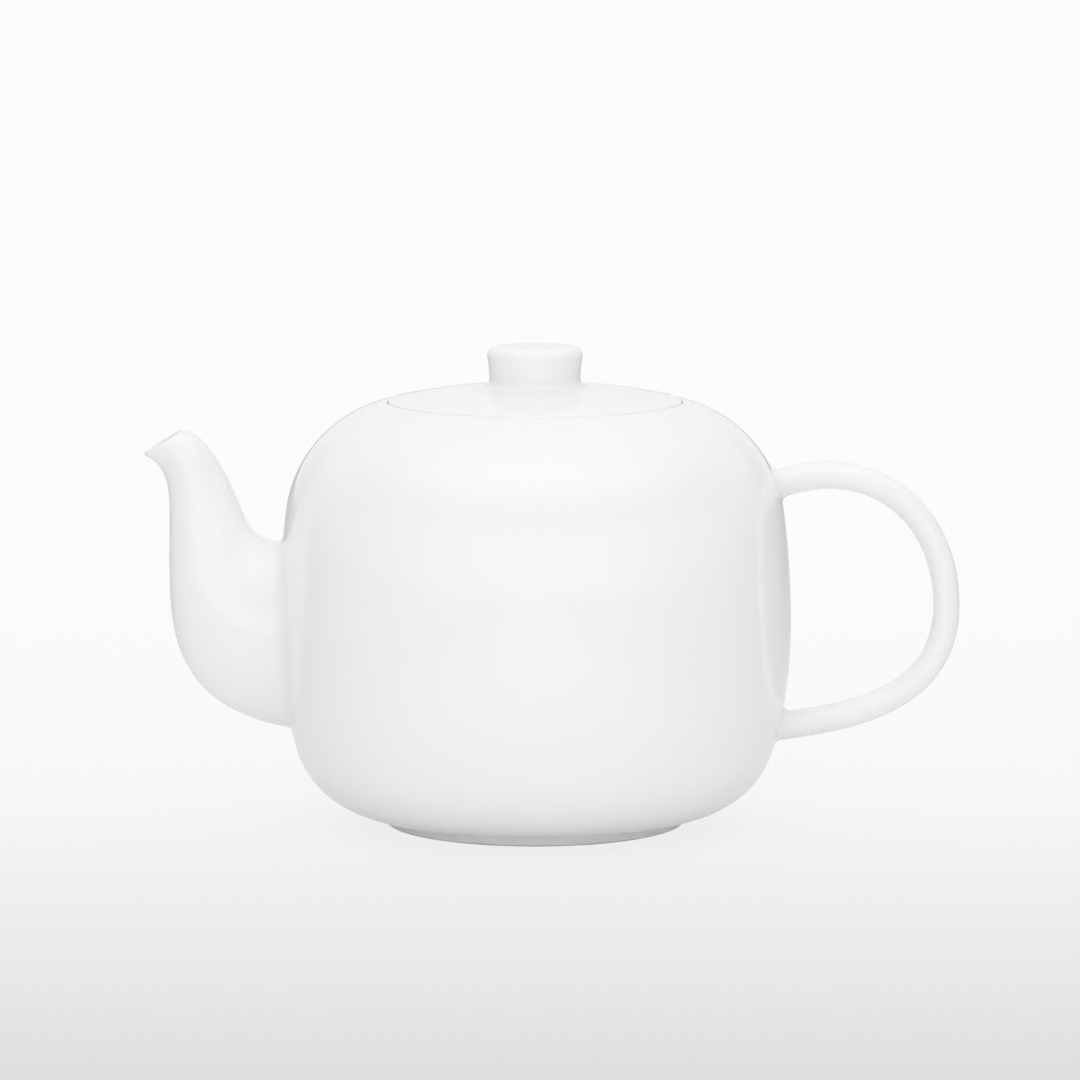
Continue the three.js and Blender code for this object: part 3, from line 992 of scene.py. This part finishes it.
lines = []
for angle in np.linspace(0, 2 * math.pi, HANDLE_SIDES, endpoint=False):
    hollow = HANDLE_FILLETS[0] + (HANDLE_FILLETS[1] - HANDLE_FILLETS[0]) * (1 + math.cos(angle)) / 2
    top_strip, first = root_strip(handle_point, angle, *TOP_ROOT_RANGE, hollow, SUNK)
    low_strip, final = root_strip(handle_point, angle, *LOW_ROOT_RANGE, hollow, SUNK)
    places = np.linspace(first, final, HANDLE_RINGS)
    lines.append(top_strip + [handle_point(angle, place) for place in places] + low_strip[::-1])
handle_rings = np.array(lines).transpose(1, 0, 2)
end_points = []
for ring in (handle_rings[0], handle_rings[-1]):
    end_points.append([tuple(ring.mean(axis=0) - [1.0, 0, 0])])
handle_skin = skin([end_points[0], *handle_rings.tolist(), end_points[1]])
handle_mesh = mesh_of("lofted_handle", *handle_skin)
make_piece("rod_handle", handle_mesh, "pot", "handle", glaze)
print("handle's middle line is", round(lengths[-1], 1), "mm long")

# %% [markdown]
# # The table
#
# The pot stands on white paper that runs away from the camera without an edge. The paper keeps the
# pot's faint shadow. Far paper is lit by its own lamps in a studio, so towards the back it gives off
# some light of its own to the camera. The glaze sees a painted reflection of the paper: a pale patch
# that dims to both sides, painted shade such as dark boards beside the table would give. Neither kind
# of light is sent on to the pot.

# %% Lay the paper
PAPER = (0.84, 0.84, 0.84, 1.0)
PAPER_HALF = 40.0
PAPER_GLOW = (
    (-1.6, 0.98),
    (-0.8, 0.95),
    (-0.42, 0.71),
    (-0.34, 0.71),
    (-0.22, 0.80),
    (-0.10, 0.87),
    (0.03, 0.94),
    (0.22, 0.965),
    (0.6, 0.985),
    (1.6, 0.99),
)
GLOW_SHARE = 0.90
# Painted reflection: the paper as only the glaze sees it, pale in the middle, with painted shade towards
# the sides.
PAPER_PAINTED_REFLECTION = ((0.0, 0.85), (0.10, 0.80), (0.20, 0.45), (0.35, 0.20), (1.0, 0.20))
PAINTED_REFLECTION_SHARE = 0.7


def grey(level):
    """A neutral colour of one level."""
    return (level, level, level, 1.0)


def add_ramp(tree, value, stops):
    """A grey that follows a value through stops of (value, level)."""
    first, final = stops[0][0], stops[-1][0]
    ramp = tree.nodes.new("ShaderNodeValToRGB")
    tree.links.new(add_spread(tree, value, (first, final), (0.0, 1.0)), ramp.inputs["Fac"])
    while len(ramp.color_ramp.elements) < len(stops):
        ramp.color_ramp.elements.new(0.5)
    for element, (at, level) in zip(ramp.color_ramp.elements, stops):
        element.position = (at - first) / (final - first)
        element.color = grey(level)
    return ramp.outputs["Color"]


paper_finish, tree, shader, place = new_finish("white_paper")
tree.nodes.remove(shader)
output = tree.nodes["Material Output"]
matt = add_node(tree, "ShaderNodeBsdfDiffuse", Color=PAPER)
glow = tree.nodes.new("ShaderNodeEmission")
ray = tree.nodes.new("ShaderNodeLightPath")
parts = tree.nodes.new("ShaderNodeSeparateXYZ")
tree.links.new(place, parts.inputs["Vector"])
aside = add_math(tree, "ABSOLUTE", parts.outputs["X"], 0.0)
mirrored = add_math(tree, "MAXIMUM", ray.outputs["Is Glossy Ray"], ray.outputs["Is Transmission Ray"])
far_light = add_ramp(tree, parts.outputs["Y"], PAPER_GLOW)
# Painted reflection of the paper for the glaze, darkening to both sides as painted shade.
painted_side_reflection = add_ramp(tree, aside, PAPER_PAINTED_REFLECTION)
tree.links.new(add_tint(tree, mirrored, far_light, painted_side_reflection), glow.inputs["Color"])
mirrored = add_math(tree, "MULTIPLY", mirrored, PAINTED_REFLECTION_SHARE)
seen = add_math(tree, "MULTIPLY", ray.outputs["Is Camera Ray"], GLOW_SHARE)
seen = add_math(tree, "MAXIMUM", seen, mirrored)
mixer = tree.nodes.new("ShaderNodeMixShader")
tree.links.new(seen, mixer.inputs[0])
tree.links.new(matt.outputs["BSDF"], mixer.inputs[1])
tree.links.new(glow.outputs["Emission"], mixer.inputs[2])
tree.links.new(mixer.outputs["Shader"], output.inputs["Surface"])

paper_mesh = bpy.data.meshes.new("paper")
corners = [(-1, -1), (1, -1), (1, 1), (-1, 1)]
corners = [(PAPER_HALF * x, PAPER_HALF * y, 0.0) for x, y in corners]
paper_mesh.from_pydata(corners, [], [(0, 1, 2, 3)])
paper_mesh.materials.append(paper_finish)
paper = bpy.data.objects.new("paper_floor", paper_mesh)
bpy.context.scene.collection.objects.link(paper)
print("paper", 2 * PAPER_HALF, "m wide, seen at", GLOW_SHARE, "of its own light")

# %% [markdown]
# # Soft studio light
#
# White glaze shows its form only through gentle shading and through what it mirrors. Softboxes would do
# that too, but their straight edges show in a glaze as smooth as this one. So the room is three belts of
# light. The low belt is bright in front and dim at the sides, which draws the pot's edges. The walls
# above it are dim in front and pale behind. Overhead a big sheet of silk is brightest towards the camera,
# and the shoulder mirrors it. The change from one belt to the next is slow, so no hard patch shows.

# %% Light the room
LOW_FRONT = 1.08
LOW_SIDES = 0.70
LOW_BEHIND = 0.65
LOW_MIDDLE = 0.90
WALL_FRONT = 0.35
WALL_BEHIND = 0.96
SILK_FRONT = 1.56
SILK_BEHIND = 1.10
FRONT_TO_SIDES = (-0.9, -0.3)
SIDES_TO_BEHIND = (0.0, 0.6)
BEHIND_TO_MIDDLE = (0.8, 0.95)
SILK_TO_BEHIND = (-0.4, 0.4)
LOW_TO_WALLS = (0.15, 0.45)
WALLS_TO_SILK = (0.45, 0.95)

world = bpy.data.worlds.new("pale_studio")
bpy.context.scene.world = world
world.use_nodes = True
tree = world.node_tree
way = tree.nodes.new("ShaderNodeSeparateXYZ")
tree.links.new(tree.nodes.new("ShaderNodeTexCoord").outputs["Generated"], way.inputs["Vector"])


def add_turn(direction, limits):
    """A soft step from 0 to 1 as the view turns, between two limits of one direction."""
    return add_spread(tree, way.outputs[direction], limits, (0.0, 1.0), "SMOOTHSTEP")


behind = add_turn("Y", SIDES_TO_BEHIND)
low_belt = add_tint(tree, add_turn("Y", FRONT_TO_SIDES), grey(LOW_FRONT), grey(LOW_SIDES))
low_belt = add_tint(tree, behind, low_belt, grey(LOW_BEHIND))
low_belt = add_tint(tree, add_turn("Y", BEHIND_TO_MIDDLE), low_belt, grey(LOW_MIDDLE))
walls = add_tint(tree, behind, grey(WALL_FRONT), grey(WALL_BEHIND))
silk = add_tint(tree, add_turn("Y", SILK_TO_BEHIND), grey(SILK_FRONT), grey(SILK_BEHIND))
room = add_tint(tree, add_turn("Z", LOW_TO_WALLS), low_belt, walls)
room = add_tint(tree, add_turn("Z", WALLS_TO_SILK), room, silk)
tree.links.new(room, tree.nodes["Background"].inputs["Color"])
print("low belt", LOW_FRONT, LOW_SIDES, LOW_BEHIND, "walls", WALL_FRONT, WALL_BEHIND, "silk", SILK_FRONT)

# %% [markdown]
# # A low lamp in front
#
# The foot stands in the shade of the body, and a silk overhead can't reach it. So one long, low lamp
# lies in front, just under the camera's view, and lights the foot and the front of the pot. In a studio
# it is tilted until its mirror image slides off the glaze. Here one switch hides it from the glaze.

# %% Set up the low lamp
LAMP_PLACE = (0.0, -1.1, 0.08)
LAMP_SIZE = (1.8, 0.14)
LAMP_RADIANCE = 3.2

lamp_data = bpy.data.lights.new("low_front_lamp", "AREA")
lamp_data.shape = "RECTANGLE"
lamp_data.size, lamp_data.size_y = LAMP_SIZE
lamp_data.energy = math.pi * LAMP_SIZE[0] * LAMP_SIZE[1] * LAMP_RADIANCE
lamp = bpy.data.objects.new("low_front_lamp", lamp_data)
lamp.location = LAMP_PLACE
lamp.rotation_euler = (math.pi / 2, 0.0, 0.0)
lamp.visible_camera = False
lamp.visible_glossy = False
bpy.context.scene.collection.objects.link(lamp)
print("low lamp:", round(lamp_data.energy, 2), "W")
